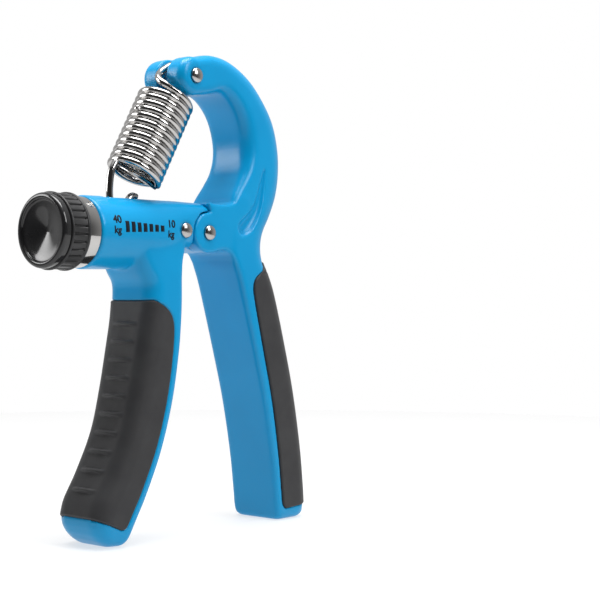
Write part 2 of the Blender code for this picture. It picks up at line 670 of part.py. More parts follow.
def top_hook():
    """From the wire's end, up over the sleeve and down to the coil's first turn."""
    shape = [(1.2, 0.0, -5.2), (4.6, 0.3, -6.6), (7.0, 0.3, -7.2), (7.2, 0.0, -5.6), (5.6, 0.0, -2.4),
             (4.3, 0.0, 0.6), (2.6, 0.0, 3.4), (0.0, 0.0, 4.35), (-2.9, 0.0, 3.3), (-5.2, 0.0, 0.0),
             (-7.0, 0.0, -3.4), (-8.1, 0.2, -6.4)]
    return spline([tuple(spring_point(*p)) for p in shape], 2)


def lower_hook():
    """From the coil's last turn, down into the barrel, round the slider's pin and out again."""
    shape = [(-30.2, 0.0, 21.6), (-32.3, 0.0, 18.0), (-33.0, 0.0, 12.6), (-32.6, 0.0, 7.6),
             (-31.2, 0.0, 4.4), (-29.2, 0.0, 3.65), (-27.2, 0.0, 4.8), (-26.2, 0.0, 7.8),
             (-25.2, 0.0, 9.9), (-23.8, 0.0, 10.9), (-22.2, 0.0, 10.7)]
    return spline(shape, 2)


def spring_parts(chrome):
    """The spring in three lengths of wire, with a short gap where they follow each other."""
    first = COIL_FROM_TURN
    last = COIL_TURNS - COIL_FROM_TURN
    half_gap = WIRE_BREAK_TURNS / 2
    middle = COIL_TURNS / 2
    upper = top_hook()[:-1] + helix(first, middle - half_gap)
    add_object("spring_top", tube(upper, WIRE_RADIUS, WIRE_SIDES), TOP_RIVET, chrome)
    lower = helix(middle + half_gap, HOOK_FROM_TURN - half_gap)
    add_object("spring_bottom", tube(lower, WIRE_RADIUS, WIRE_SIDES), TOP_RIVET, chrome)
    hook = helix(HOOK_FROM_TURN + half_gap, last) + lower_hook()
    add_object("spring_hook", tube(hook, WIRE_RADIUS, WIRE_SIDES), HOOK_PIN, chrome)


def pads(rubber):
    add_object("short_handle_pad", pad_mesh(SHORT_STATIONS, SHORT_PAD), PIVOT, rubber)
    add_object("long_handle_pad", pad_mesh(LONG_STATIONS, LONG_PAD), PIVOT, rubber)


def main():
    clear_scene()
    blue = material("blue_plastic", BLUE)
    rubber = material("black_rubber", RUBBER)
    black = material("black_plastic", BLACK)
    chrome = material("chrome", CHROME)
    steel = material("steel", STEEL)
    brass = material("brass", BRASS)
    nylon = material("nylon", NYLON)
    short_handle(blue)
    long_handle(blue)
    pads(rubber)
    pivot_parts(steel, nylon)
    barrel_parts(chrome, steel, nylon)
    knob_parts(black, steel)
    slider_parts(brass, steel)
    spring_parts(chrome)


main()
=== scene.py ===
"""Looks of the hand grip strengthener.

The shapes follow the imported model. Outlines are in millimetres in the pivot frame: x towards the
long handle, y to the back, z up, and (0, 0, 0) in the middle of the handle pivot.
"""

import math

import bmesh
import bpy
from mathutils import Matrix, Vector
from mathutils.bvhtree import BVHTree

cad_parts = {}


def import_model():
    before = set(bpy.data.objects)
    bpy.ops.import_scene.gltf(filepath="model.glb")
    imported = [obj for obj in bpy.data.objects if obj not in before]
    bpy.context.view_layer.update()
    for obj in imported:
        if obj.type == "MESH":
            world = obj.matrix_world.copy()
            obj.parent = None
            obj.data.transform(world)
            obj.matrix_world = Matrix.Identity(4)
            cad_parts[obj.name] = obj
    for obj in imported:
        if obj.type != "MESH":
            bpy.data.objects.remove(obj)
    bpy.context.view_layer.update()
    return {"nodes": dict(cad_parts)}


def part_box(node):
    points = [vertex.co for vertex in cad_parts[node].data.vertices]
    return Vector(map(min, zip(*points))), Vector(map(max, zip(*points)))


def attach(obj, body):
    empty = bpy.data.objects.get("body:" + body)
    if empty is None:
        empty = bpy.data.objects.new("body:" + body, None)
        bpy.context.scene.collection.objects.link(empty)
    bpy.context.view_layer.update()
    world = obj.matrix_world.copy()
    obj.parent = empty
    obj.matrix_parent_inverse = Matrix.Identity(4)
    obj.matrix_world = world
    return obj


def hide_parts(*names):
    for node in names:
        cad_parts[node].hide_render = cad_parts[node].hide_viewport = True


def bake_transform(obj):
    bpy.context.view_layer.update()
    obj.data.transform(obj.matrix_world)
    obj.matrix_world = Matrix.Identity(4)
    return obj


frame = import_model()

MM = 0.001
UP = Vector((0.0, 0.0, 1.0))
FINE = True


def middle(node):
    """The middle of a node's box."""
    low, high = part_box(node)
    return (Vector(low) + Vector(high)) / 2


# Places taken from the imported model
PIVOT = middle("pivot_rivet")
TOP_RIVET = (middle("top_rivet") - PIVOT) / MM
BARREL_RIVET = (middle("barrel_rivet") - PIVOT) / MM
AXIS_Z = (middle("adjusting_screw").z - PIVOT.z) / MM
HOOK_PIN = (middle("hook_pin") - PIVOT) / MM

# Camera: a lens in millimetres, and its place from the pivot's front face, in metres
VIEW_AZIMUTH = math.radians(-48.7)
VIEW_DISTANCE = 0.4488
VIEW_RIGHT = 0.0286733
VIEW_DOWN = 0.021513
LENS = 84.24
FRONT_FACE = Vector((0.0, -10.7 * MM, 0.0))

# Lights: size in metres, power in watts
KEY_SIZE = (0.22, 0.3)
KEY_POWER = 1.9
FILL_SIZE = (0.1, 0.16)
FILL_POWER = 0.032
TOP_SIZE = (0.45, 0.3)
TOP_POWER = 4.2
LIT_MIDDLE = Vector((0.0, 0.0, 0.08))

# Floor
FLOOR_RADIUS = 0.5
FLOOR_GREY = 0.3
FLOOR_GLOW = 0.65

# Shells: the grid that a moulding is made on, and how many times its edges are smoothed
VOXEL = 0.42 if FINE else 0.7
SHORT_ROUNDING = 14
LONG_ROUNDING = 12
CUT_ROUNDING = 3

# Handle pivot
EAR_RADIUS = 6.4
EAR_HALF = 10.3
EAR_INNER = 5.1
TONGUE_HALF = 4.3
RECESS_RADIUS = 6.8
POCKET_RADIUS = 7.2
PIVOT_BUSH_HOLE_RADIUS = 3.25
PAST_FACES = 15.0

# Rivets
RIVET_HOLE_RADIUS = 2.1
BARREL_RIVET_HOLE_RADIUS = 1.6
SPOTFACE_RADIUS = 3.0
RIVET_SHANK_RADIUS = 1.4
RIVET_HEAD_SCALE = 0.94
RIVET_HEAD_HEIGHT = 1.45
RIVET_RIM_HEIGHT = 0.3

# Barrel
BARREL_END_X = -45.2
BORE_RADIUS = 6.5
BORE_END_X = -14.6
BUSH_HOLE_RADIUS = 4.85
BUSH_END_X = -6.6
SLOT_HALF = 3.2
SLOT_FROM_X = -37.6
SLOT_TO_X = -12.0
COLLAR_RADIUS = 10.8
COLLAR_LEFT_X = -49.6
COLLAR_BORE_RADIUS = 2.7
SPIGOT_END_X = -38.5
SPIGOT_RADIUS = 6.3

# Knob: a groove's half width is a share of its pitch
KNOB_RIGHT_X = -49.9
KNOB_LEFT_X = -56.8
KNOB_RADIUS = 11.75
KNOB_BORE_RADIUS = 2.6
KNOB_HOLLOW_RADIUS = 9.4
KNOB_RECESS_RADIUS = 8.3
KNOB_WEB = 1.9
KNOB_GROOVES = 30
GROOVE_DEPTH = 0.55
GROOVE_HALF_WIDTH = 0.2
CAP_LEFT_X = -59.6
CAP_RADIUS = 11.2

# Screw
SCREW_PITCH = 2.0
THREAD_DEPTH = 0.45
SCREW_TIP_RADIUS = 1.85
SCREW_TIP_LENGTH = 2.2

# Arm's fork and flutes
TIP_RADIUS = 6.3
TIP_HALF = 9.6
TIP_EDGE = 2.6
FORK_SLOT_HALF = 2.2
FORK_SLOT_TO_X = 5.0
FLUTE_HALF_WIDTH = 3.3

# Spring: the upper hook leaves the coil at one turn from its top, and its two pieces meet at another
WIRE_RADIUS = 1.12
COIL_RADIUS = 8.05
COIL_TURNS = 12.5
COIL_PITCH = 2.35
COIL_TOP = 7.9
HOOK_TURN = 0.2
SPLIT_TURN = 4.0
WIRE_SIDES = 16
TURN_POINTS = 48 if FINE else 28

# Pads and their seats
PAD_PROUD = 0.4
PAD_TUCK = 0.35
PAD_DEPTH = 1.7
PAD_LIP = 0.55
PAD_CORNER = 2.2
PAD_STEP = 0.8
SEAT_GAP = 0.12
SEAT_CUT = 3.0

# Each handle's stations: inner edge x, z; outer edge x, z; half thickness; inner and outer
# corner radius; width of the bare strip along the inner edge. A pad lies between two of them.
SHORT_STATIONS = [
    (-9.8, 3.0, -30.0, 3.0, 10.2, 1.2, 4.0, 4.0),
    (-10.0, -4.5, -30.0, -7.0, 10.3, 1.2, 4.0, 4.0),
    (-10.9, -9.5, -28.2, -12.5, 10.5, 1.8, 4.5, 4.0),
    (-11.4, -15.0, -25.9, -16.5, 10.7, 1.8, 5.0, 4.0),
    (-11.5, -21.0, -25.7, -21.7, 10.8, 1.8, 5.0, 4.0),
    (-11.8, -28.0, -26.6, -28.0, 10.8, 1.8, 5.5, 4.0),
    (-12.8, -38.0, -28.2, -36.5, 10.8, 1.8, 5.5, 3.6),
    (-15.6, -53.0, -30.8, -49.2, 10.8, 1.8, 5.5, 3.4),
    (-20.3, -68.0, -34.2, -61.8, 10.8, 1.8, 5.5, 3.3),
    (-26.4, -81.0, -40.0, -73.6, 10.8, 1.8, 5.5, 3.3),
    (-30.8, -88.6, -44.8, -81.6, 10.8, 1.8, 5.5, 3.3),
    (-33.0, -92.6, -46.4, -86.6, 10.7, 1.8, 5.5, 3.3),
]
SHORT_TOE = [
    (-33.4, -93.8, -46.3, -89.0, 10.3, 1.8, 5.3, 3.3),
    (-33.9, -94.9, -45.2, -91.6, 9.6, 1.8, 5.0, 3.3),
    (-34.8, -95.7, -43.2, -93.8, 8.6, 1.2, 4.0, 3.0),
    (-35.4, -95.9, -41.2, -95.2, 7.6, 1.0, 2.6, 2.0),
    (-35.8, -96.0, -39.8, -96.0, 6.4, 0.8, 1.6, 1.2),
]
SHORT_PAD = (4, 11)

LONG_STATIONS = [
    (-5.1, 43.5, -5.1, 56.1, 9.6, 2.4, 3.0, 4.0),
    (2.5, 44.9, 3.0, 58.0, 9.6, 2.4, 3.6, 4.0),
    (7.6, 46.0, 12.6, 57.3, 9.6, 3.2, 5.0, 4.0),
    (12.3, 43.4, 22.4, 53.0, 9.7, 4.0, 6.4, 4.0),
    (16.2, 38.6, 29.8, 46.6, 9.8, 4.6, 7.4, 4.0),
    (18.4, 32.6, 35.3, 39.0, 9.8, 4.8, 7.8, 4.0),
    (18.9, 26.8, 38.1, 30.0, 9.8, 4.8, 8.0, 4.0),
    (17.8, 21.3, 38.4, 21.5, 9.9, 4.0, 8.0, 4.0),
    (15.2, 16.6, 36.9, 13.4, 10.0, 3.0, 8.0, 4.0),
    (11.6, 10.4, 33.6, 6.4, 10.2, 1.6, 8.0, 4.0),
    (11.0, 2.5, 30.1, 0.7, 10.3, 1.2, 8.0, 4.4),
    (10.6, -4.0, 28.6, -4.1, 10.5, 1.4, 7.6, 5.0),
    (12.0, -9.5, 28.9, -8.6, 10.7, 1.8, 7.0, 5.4),
    (14.3, -15.0, 30.8, -12.8, 10.8, 1.8, 6.2, 5.2),
    (17.0, -23.5, 33.4, -19.6, 10.8, 1.8, 5.5, 4.4),
    (21.9, -40.0, 38.4, -36.0, 10.8, 1.8, 5.5, 3.7),
    (26.3, -56.0, 42.8, -52.6, 10.8, 1.8, 5.5, 3.3),
    (29.8, -73.4, 46.3, -70.8, 10.8, 1.8, 5.5, 2.9),
    (31.5, -86.0, 48.0, -84.6, 10.8, 1.8, 5.5, 2.7),
    (32.2, -92.4, 48.5, -91.4, 10.8, 1.8, 5.5, 2.7),
]
LONG_TOE = [
    (32.5, -94.6, 48.4, -94.2, 10.4, 1.8, 5.3, 2.7),
    (33.3, -95.7, 47.5, -95.5, 9.5, 1.8, 5.0, 2.7),
    (34.5, -96.0, 46.1, -96.0, 8.2, 1.5, 4.0, 2.5),
]
LONG_PAD = (12, 19)

# Barrel stations: x, bottom z, top z, half thickness, squareness of the section
BARREL_STATIONS = [
    (-45.2, -12.3, 10.1, 11.2, 2.0),
    (-30.0, -12.0, 10.3, 11.2, 2.1),
    (-20.0, -11.3, 10.2, 11.0, 2.3),
    (-14.0, -8.8, 10.1, 10.8, 2.6),
    (-9.0, -6.2, 10.0, 10.5, 3.0),
    (-4.5, -5.2, 9.9, 10.3, 3.2),
    (1.3, -5.0, 9.8, 10.3, 3.4),
]

# How far a pad's front edge has still to go to its strip, at distances in mm from its top
SHORT_PAD_TOP = [(0.0, 1.0), (1.1, 0.74), (2.6, 0.42), (4.4, 0.18), (6.4, 0.05), (8.6, 0.0)]
LONG_PAD_TOP = [(0.0, 1.0), (1.8, 0.93), (3.4, 0.62), (5.0, 0.2), (7.5, 0.0)]

# Ribs: how many, and the heights of the first and the last
SHORT_RIBS = (10, -28.9, -78.9)
LONG_RIBS = (12, -17.7, -86.7)
RIB_HEIGHT = 1.0
RIB_HALF_WIDTH = 0.85
RIB_REACH = 5.5

# Printed scale: x, z and height of the first and last bars
SCALE_BARS = 7
FIRST_BAR = (-35.4, 0.6, 3.4)
LAST_BAR = (-21.0, 0.5, 1.9)
BAR_WIDTH = 1.5
LETTER_BOLDNESS = 0.035
INK_THICKNESS = 0.06
INK_LIFT = 0.035


# ---------------- mesh helpers

def linked(name, data):
    """A new object in the scene."""
    obj = bpy.data.objects.new(name, data)
    bpy.context.collection.objects.link(obj)
    return obj


def mesh_of(bm, name="scratch"):
    """A mesh with what bm holds, which is then freed."""
    mesh = bpy.data.meshes.new(name)
    bm.to_mesh(mesh)
    bm.free()
    return mesh


def world(point):
    """A pivot-frame point in millimetres as a point in the frame, in metres."""
    return PIVOT + Vector(point) * MM


def spline(points, steps):
    """Points of a smooth curve through the given ones, with steps points to a span."""
    padded = [points[0], *points, points[-1]]
    curve = []
    for k in range(len(points) - 1):
        for step in range(steps):
            t = step / steps
            curve.append(tuple(
                0.5 * (2 * b + (c - a) * t + (2 * a - 5 * b + 4 * c - d) * t**2
                       + (3 * b - a - 3 * c + d) * t**3)
                for a, b, c, d in zip(*padded[k:k + 4])
            ))
    curve.append(tuple(points[-1]))
    return curve


def graph(points, x):
    """The height at x of straight runs between (x, height) points."""
    if x <= points[0][0]:
        return points[0][1]
    for (x0, y0), (x1, y1) in zip(points, points[1:]):
        if x <= x1:
            return y0 + (y1 - y0) * (x - x0) / (x1 - x0)
    return points[-1][1]


def arc(cx, cy, radius, start, end, count):
    """Points on an arc, with angles in degrees."""
    angles = [math.radians(start + (end - start) * k / count) for k in range(count + 1)]
    return [(cx + radius * math.cos(a), cy + radius * math.sin(a)) for a in angles]


def loft(rings, capped=True, looped=False):
    """A mesh that skins a list of closed rings of equal length."""
    bm = bmesh.new()
    rows = [[bm.verts.new(p) for p in ring] for ring in rings]
    pairs = list(zip(rows, rows[1:]))
    if looped:
        pairs.append((rows[-1], rows[0]))
    for low, high in pairs:
        for k in range(len(low)):
            nxt = (k + 1) % len(low)
            bm.faces.new((low[k], low[nxt], high[nxt], high[k]))
    if capped and not looped:
        bm.faces.new(rows[0][::-1])
        bm.faces.new(rows[-1])
    return bm


def prism(outline, y_from, y_to):
    """An x, z outline extruded along y."""
    return loft([[(x, y, z) for x, z in outline] for y in (y_from, y_to)])


def box_outline(left, right, low, high):
    """The four corners of an upright rectangle."""
    return [(left, low), (right, low), (right, high), (left, high)]


def turned(profile, axis, centre, sides):
    """Turn a profile of (position, radius) pairs about an axis along x or y."""
    def place(pos, u, v):
        return (pos, u, centre[1] + v) if axis == "X" else (centre[0] + u, pos, centre[1] + v)

    bm = bmesh.new()
    solid = profile[0][1] == 0.0
    inner = profile[1:-1] if solid else profile
    rows = []
    for k in range(sides):
        a = 2 * math.pi * k / sides
        rows.append([bm.verts.new(place(pos, radius * math.cos(a), radius * math.sin(a)))
                     for pos, radius in inner])
    count = len(inner)
    for k in range(sides):
        here, there = rows[k], rows[(k + 1) % sides]
        for j in range(count - 1 if solid else count):
            nxt = (j + 1) % count
            bm.faces.new((here[j], here[nxt], there[nxt], there[j]))
    if solid:
        for end in (0, -1):
            tip = bm.verts.new(place(profile[end][0], 0.0, 0.0))
            for k in range(sides):
                bm.faces.new((rows[k][end], rows[(k + 1) % sides][end], tip))
    return bm


def wire(path):
    """The spring's round wire along a list of points, with flat ends."""
    points = [Vector(p) for p in path]
    rings = []
    side = None
    last = len(points) - 1
    for k, point in enumerate(points):
        tangent = (points[min(k + 1, last)] - points[max(k - 1, 0)]).normalized()
        side = side or tangent.orthogonal()
        side = (side - tangent * side.dot(tangent)).normalized()
        up = tangent.cross(side)
        ring = []
        for j in range(WIRE_SIDES):
            a = 2 * math.pi * j / WIRE_SIDES
            ring.append(point + (side * math.cos(a) + up * math.sin(a)) * WIRE_RADIUS)
        rings.append(ring)
    return loft(rings)


def piece(name, bm, body, mat, replaced=(), sharp=35):
    """Turn a pivot-frame mesh into a piece that rides on a body."""
    for vert in bm.verts:
        vert.co = world(vert.co)
    bmesh.ops.recalc_face_normals(bm, faces=bm.faces)
    mesh = mesh_of(bm, name)
    mesh.shade_smooth()
    if sharp:
        mesh.set_sharp_from_angle(angle=math.radians(sharp))
    mesh.materials.append(mat)
    obj = linked(name, mesh)
    if body:
        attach(obj, body)
    if replaced:
        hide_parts(*replaced)
    return obj


def raw_object(bm):
    """A pivot-frame object in millimetres, used while a shell is being shaped."""
    bmesh.ops.recalc_face_normals(bm, faces=bm.faces)
    return linked("scratch", mesh_of(bm))


def absorb(total, bm):
    """Move a mesh into total."""
    mesh = mesh_of(bm)
    total.from_mesh(mesh)
    bpy.data.meshes.remove(mesh)


def joined(parts):
    """One mesh that holds several closed meshes."""
    total = bmesh.new()
    for bm in parts:
        bmesh.ops.recalc_face_normals(bm, faces=bm.faces)
        absorb(total, bm)
    return total


def apply_modifiers(obj):
    """Make the object's modifiers part of its mesh."""
    depsgraph = bpy.context.evaluated_depsgraph_get()
    depsgraph.update()
    mesh = bpy.data.meshes.new_from_object(obj.evaluated_get(depsgraph))
    old = obj.data
    obj.modifiers.clear()
    obj.data = mesh
    bpy.data.meshes.remove(old)


def mould(obj, rounding):
    """Melt the object's solids into one skin and round its edges, as a moulding has them."""
    remesh = obj.modifiers.new("skin", "REMESH")
    remesh.mode = "VOXEL"
    remesh.voxel_size = VOXEL
    remesh.adaptivity = 0.0
    smooth = obj.modifiers.new("round", "SMOOTH")
    smooth.factor = 0.5
    smooth.iterations = rounding
    apply_modifiers(obj)


def boolean(obj, bm, operation):
    """Cut a closed mesh out of obj, or join it on."""
    tool = raw_object(bm)
    change = obj.modifiers.new("change", "BOOLEAN")
    change.operation = operation
    change.solver = "MANIFOLD"
    change.object = tool
    apply_modifiers(obj)
    mesh = tool.data
    bpy.data.objects.remove(tool)
    bpy.data.meshes.remove(mesh)


def carve(obj, tool_meshes):
    """Cut closed tools out of obj, one after the other."""
    for bm in tool_meshes:
        boolean(obj, bm, "DIFFERENCE")


def shell_piece(obj, name, body, mat, replaced):
    """Make a finished piece of a shaped millimetre object."""
    bm = bmesh.new()
    bm.from_mesh(obj.data)
    mesh = obj.data
    bpy.data.objects.remove(obj)
    bpy.data.meshes.remove(mesh)
    return piece(name, bm, body, mat, replaced, sharp=0)


# ---------------- materials

def new_material(name, color, roughness, metallic=0.0):
    """A material, with its node tree and its shader."""
    mat = bpy.data.materials.new(name)
    mat.use_nodes = True
    shader = mat.node_tree.nodes["Principled BSDF"]
    shader.inputs["Base Color"].default_value = (*color, 1.0)
    shader.inputs["Roughness"].default_value = roughness
    shader.inputs["Metallic"].default_value = metallic
    return mat, mat.node_tree, shader


def add_node(tree, kind, **values):
    """A node with its sockets, or its own settings, set by name."""
    node = tree.nodes.new(kind)
    for name, value in values.items():
        if name in node.inputs:
            node.inputs[name].default_value = value
        else:
            setattr(node, name.lower(), value)
    return node


def noise(tree, scale, detail=3.0, roughness=0.5):
    """Noise in the object's own coordinates, with scale in features per metre."""
    where = add_node(tree, "ShaderNodeTexCoord")
    texture = add_node(tree, "ShaderNodeTexNoise", Scale=scale, Detail=detail, Roughness=roughness)
    tree.links.new(where.outputs["Object"], texture.inputs["Vector"])
    return texture.outputs["Fac"]


def tint(tree, shader, source, low, high):
    """Let a texture move the base colour between two colours."""
    node = add_node(tree, "ShaderNodeValToRGB")
    node.color_ramp.elements[0].position = 0.3
    node.color_ramp.elements[1].position = 0.7
    node.color_ramp.elements[0].color = (*low, 1.0)
    node.color_ramp.elements[1].color = (*high, 1.0)
    tree.links.new(source, node.inputs["Fac"])
    tree.links.new(node.outputs["Color"], shader.inputs["Base Color"])


def vary(tree, shader, source, low, high):
    """Let a texture move the roughness between two values."""
    node = add_node(tree, "ShaderNodeMapRange")
    node.inputs["To Min"].default_value = low
    node.inputs["To Max"].default_value = high
    tree.links.new(source, node.inputs["Value"])
    tree.links.new(node.outputs["Result"], shader.inputs["Roughness"])


def bump(tree, shader, source, distance, strength):
    """Roughen the surface with a texture, whose full height is distance in metres."""
    node = add_node(tree, "ShaderNodeBump")
    node.inputs["Strength"].default_value = strength
    node.inputs["Distance"].default_value = distance
    tree.links.new(source, node.inputs["Height"])
    tree.links.new(node.outputs["Normal"], shader.inputs["Normal"])


def blue_plastic():
    """Bright blue moulding: a satin gloss with a faint orange peel."""
    color = (0.001, 0.3, 0.61)
    mat, tree, shader = new_material("blue_plastic", color, 0.3)
    shader.inputs["Specular IOR Level"].default_value = 0.2
    shader.inputs["Coat Weight"].default_value = 0.18
    shader.inputs["Coat Roughness"].default_value = 0.22
    darker = (color[0], color[1] * 0.94, color[2] * 0.95)
    tint(tree, shader, noise(tree, 55.0, 2.0), darker, color)
    vary(tree, shader, noise(tree, 260.0, 4.0), 0.25, 0.36)
    bump(tree, shader, noise(tree, 900.0, 2.0), 0.00002, 0.35)
    return mat


def black_rubber():
    """Soft matte rubber with a fine grain and a trace of bloom."""
    mat, tree, shader = new_material("black_rubber", (0.02, 0.02, 0.022), 0.6)
    shader.inputs["Specular IOR Level"].default_value = 0.45
    shader.inputs["Sheen Weight"].default_value = 0.08
    shader.inputs["Sheen Roughness"].default_value = 0.5
    tint(tree, shader, noise(tree, 120.0, 5.0), (0.016, 0.016, 0.018), (0.025, 0.025, 0.027))
    vary(tree, shader, noise(tree, 380.0, 4.0), 0.5, 0.68)
    bump(tree, shader, noise(tree, 3800.0, 3.0), 0.00004, 0.5)
    return mat


def black_plastic(name, roughness, grain):
    """Hard black moulding, with the height of its grain in metres."""
    mat, tree, shader = new_material(name, (0.016, 0.016, 0.017), roughness)
    vary(tree, shader, noise(tree, 300.0, 4.0), roughness - 0.05, roughness + 0.07)
    tint(tree, shader, noise(tree, 90.0), (0.013, 0.013, 0.014), (0.02, 0.02, 0.021))
    bump(tree, shader, noise(tree, 1500.0, 3.0), grain, 0.4)
    return mat


def plated(name, color, roughness, grain):
    """Plated metal: nearly even, with slight changes in gloss."""
    mat, tree, shader = new_material(name, color, roughness, 1.0)
    vary(tree, shader, noise(tree, 160.0, 4.0), roughness * 0.8, roughness * 1.25)
    tint(tree, shader, noise(tree, 150.0), tuple(c * 0.93 for c in color), color)
    bump(tree, shader, noise(tree, 1200.0, 2.0), grain, 0.2)
    return mat


def nylon_material():
    """Milky nylon that light enters a little."""
    mat, tree, shader = new_material("nylon", (0.72, 0.71, 0.66), 0.5)
    shader.inputs["Subsurface Weight"].default_value = 0.1
    shader.inputs["Subsurface Scale"].default_value = 0.001
    vary(tree, shader, noise(tree, 500.0), 0.42, 0.58)
    tint(tree, shader, noise(tree, 200.0), (0.66, 0.65, 0.6), (0.74, 0.73, 0.68))
    return mat


def ink_material():
    """Dark printed ink, thinner in places."""
    mat, tree, shader = new_material("ink", (0.005, 0.007, 0.012), 0.5)
    shader.inputs["Specular IOR Level"].default_value = 0.15
    vary(tree, shader, noise(tree, 900.0), 0.38, 0.55)
    tint(tree, shader, noise(tree, 2200.0, 4.0), (0.004, 0.006, 0.01), (0.008, 0.012, 0.02))
    return mat


# ---------------- handles

def along(station, depth, y):
    """The point at a depth from a station's inner edge towards its outer edge."""
    inner = Vector((station[0], 0.0, station[1]))
    outer = Vector((station[2], 0.0, station[3]))
    point = inner + (outer - inner).normalized() * depth
    return (point.x, y, point.z)


def station_width(station):
    """The distance from a station's inner edge to its outer one."""
    return math.hypot(station[2] - station[0], station[3] - station[1])


def handle_ring(station):
    """One rounded section of a handle."""
    half, r_in, r_out = station[4:7]
    width = station_width(station) - PAD_PROUD
    profile = [(0.0, 0.0)]
    profile += arc(r_in, half - r_in, r_in, 180, 90, 8)
    profile += arc(width - r_out, half - r_out, r_out, 90, 0, 12)
    profile.append((width, 0.0))
    loop = profile + [(p, -y) for p, y in reversed(profile) if y > 1e-6]
    return [along(station, depth, y) for depth, y in loop]


def handle_solid(stations, toe):
    """A handle: a smooth run through its stations, then the toe's own sections."""
    return loft([handle_ring(s) for s in spline(stations, 8) + toe])


def station_at(curve, lengths, distance):
    """The station at a distance along the outer edge."""
    for k in range(len(curve) - 1):
        if distance <= lengths[k + 1]:
            t = (distance - lengths[k]) / (lengths[k + 1] - lengths[k])
            return tuple(u + (v - u) * t for u, v in zip(curve[k], curve[k + 1]))
    return curve[-1]


def pad_section(station, start):
    """Points and outward normals over half a pad's section, from its edge to the outer middle.

    The first points crowd together, because the pad's rounded edge lies there.
    """
    half, _, r_out = station[4:7]
    width = station_width(station) - PAD_PROUD
    flat_to = width - r_out
    steps = 16
    back_steps = 14

    def corner(angle):
        """A point on the outer corner, with its normal."""
        s, c = math.sin(angle), math.cos(angle)
        return (flat_to + r_out * s, half - r_out + r_out * c, s, c)

    crowded = [(k / steps) ** 1.6 for k in range(steps)]
    if start < flat_to:
        turned_to = 0.0
        points = [(start + (flat_to - start) * t, half, 0.0, 1.0) for t in crowded]
    else:
        first = math.asin(min(1.0, (start - flat_to) / r_out))
        turned_to = first + (math.pi / 2 - first) * 0.25
        points = [corner(first + (turned_to - first) * t) for t in crowded]
    points += [corner(turned_to + (math.pi / 2 - turned_to) * k / steps) for k in range(steps)]
    points += [(width, (half - r_out) * (1 - k / back_steps), 1.0, 0.0)
               for k in range(back_steps + 1)]
    return points


def rounded_lip(distance):
    """Height of the pad's rounded edge, from 0 at its edge to 1 inside."""
    if distance >= PAD_LIP:
        return 1.0
    return math.sqrt(max(0.0, 1 - (1 - distance / PAD_LIP) ** 2))


def rib_height(distance, y, ribs):
    """Height of the lens-shaped ribs across the pad's back."""
    if abs(y) >= RIB_REACH:
        return 0.0
    reach = 1 - (y / RIB_REACH) ** 2
    height = 0.0
    for centre in ribs:
        off = (distance - centre) / RIB_HALF_WIDTH
        if abs(off) < 1:
            height = max(height, RIB_HEIGHT * reach * (1 - off * off))
    return height


def pad_curve(stations, span):
    """The smooth run of stations that a pad covers, and how far along its outer edge each lies."""
    steps = 8
    curve = spline(stations, steps)[span[0] * steps:span[1] * steps + 1]
    lengths = [0.0]
    for a, b in zip(curve, curve[1:]):
        lengths.append(lengths[-1] + math.hypot(b[2] - a[2], b[3] - a[3]))
    return curve, lengths


def rib_places(curve, lengths, ribs):
    """Distances of the ribs, whose first and last heights are given."""
    count, top, bottom = ribs
    depths = [(-station[3], length) for station, length in zip(curve, lengths)]
    return [graph(depths, -(top + (bottom - top) * k / (count - 1))) for k in range(count)]


def pad_start(station, distance, total, top):
    """Depth of the pad's front edge, with its sloping top corner and its round bottom one."""
    strip = station[7]
    width = station_width(station) - PAD_PROUD
    furthest = width - station[6] * 0.35
    short_of_end = max(0.0, PAD_CORNER - (total - distance))
    bottom = PAD_CORNER - math.sqrt(max(0.0, PAD_CORNER**2 - short_of_end**2))
    return strip + (furthest - strip) * graph(top, distance) + bottom


def pad_rows(total, places):
    """Distances of a pad's rings, which lie close at both ends and over each rib."""
    near_edge = [0.0, 0.05, 0.15, 0.3, 0.5]
    margin = 0.8
    count = round(total / PAD_STEP)
    rows = near_edge + [margin + (total - 2 * margin) * k / count for k in range(count + 1)]
    rows += [total - d for d in near_edge]
    clear = RIB_HALF_WIDTH + 0.1
    rows = [d for d in rows if all(abs(d - place) > clear for place in places)]
    rows += [place + RIB_HALF_WIDTH * k / 5 for place in places for k in range(-5, 6)]
    return sorted(rows)


def pad_ring(station, section, heights, depth):
    """A closed ring: out over both halves of a section, and back at a depth below it."""
    outside = [(p + nx * height, y + ny * height)
               for (p, y, nx, ny), height in zip(section, heights)]
    inside = [(p - nx * depth, y - ny * depth) for p, y, nx, ny in section]
    loop = outside + [(p, -y) for p, y in reversed(outside[:-1])]
    loop += [(p, -y) for p, y in inside[:-1]] + list(reversed(inside))
    return [along(station, p, y) for p, y in loop]


def pad_heights(section, distance, end_gap, places):
    """Heights over a section's points, rounded off towards the pad's edges and raised by ribs."""
    heights = []
    travelled = 0.0
    before = section[0]
    for point in section:
        travelled += math.hypot(point[0] - before[0], point[1] - before[1])
        before = point
        lip = rounded_lip(travelled) * rounded_lip(end_gap)
        raised = PAD_PROUD + rib_height(distance, point[1], places)
        heights.append(raised * lip - PAD_TUCK * (1 - lip))
    return heights


def pad_solid(stations, span, top, ribs):
    """A rubber pad with rounded edges and ribs across its back."""
    curve, lengths = pad_curve(stations, span)
    total = lengths[-1]
    places = rib_places(curve, lengths, ribs)
    smooth_top = spline(top, 6)
    rings = []
    for distance in pad_rows(total, places):
        station = station_at(curve, lengths, distance)
        section = pad_section(station, pad_start(station, distance, total, smooth_top))
        heights = pad_heights(section, distance, min(distance, total - distance), places)
        rings.append(pad_ring(station, section, heights, PAD_DEPTH))
    return loft(rings)


